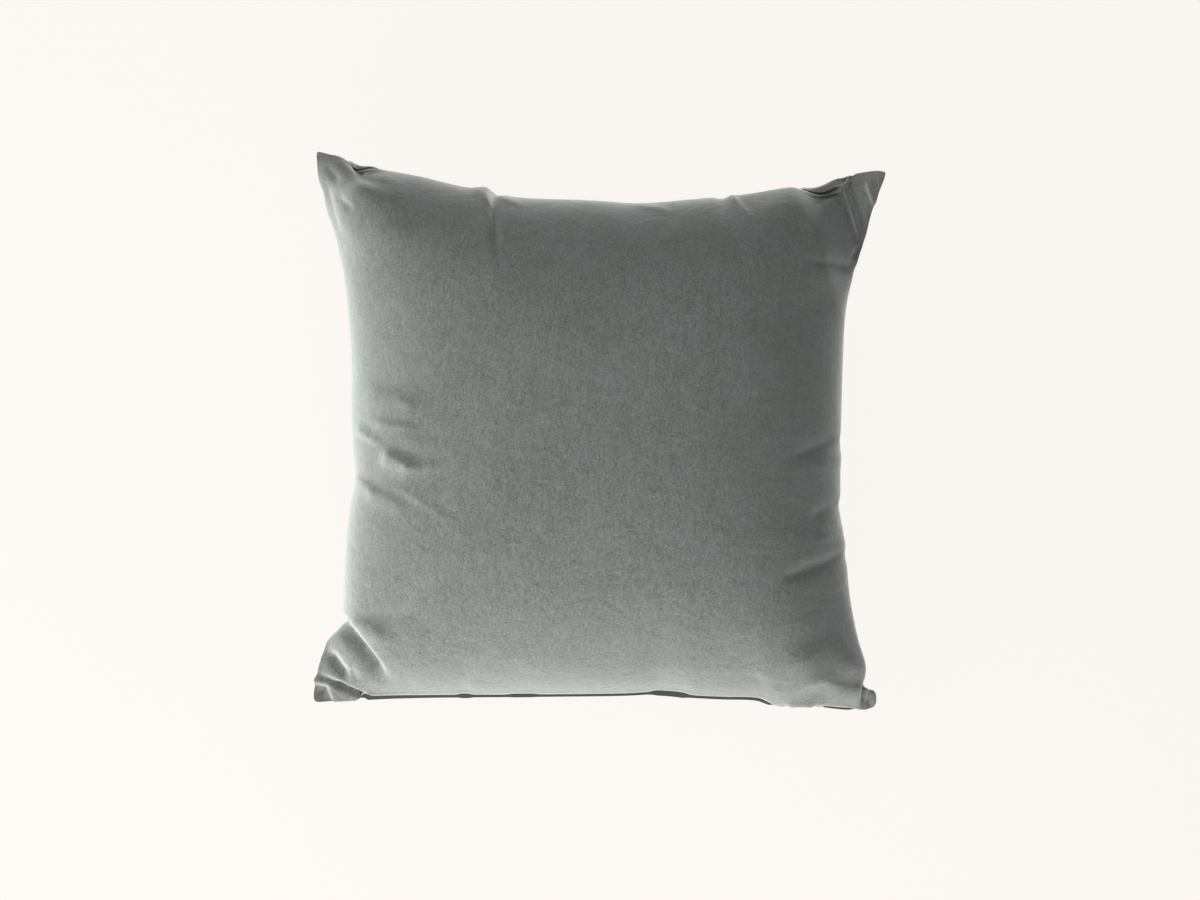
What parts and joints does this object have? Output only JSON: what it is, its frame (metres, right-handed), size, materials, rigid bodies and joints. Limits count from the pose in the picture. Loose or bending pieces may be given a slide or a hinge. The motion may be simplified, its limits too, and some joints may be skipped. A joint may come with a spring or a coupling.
{
  "type": "square throw pillow",
  "caption": "Square velvet throw pillow with a crowned face, drawn-in sides, soft corner ears and a plain knife-edge seam.",
  "frame": {"origin": "centre of the footprint of the bounding box, on the surface that the pillow lies on", "axes": "+X to the right across the face, +Y towards the top edge of the face, +Z out of the face, up from the surface"},
  "size_m": [0.496, 0.487, 0.159],
  "materials": {
    "velvet": "matt short-pile cotton velvet in grey-green, paler where the pile is seen from the side"
  },
  "bodies": {
    "root": {"pillow": "velvet"}
  },
  "joints": []
}
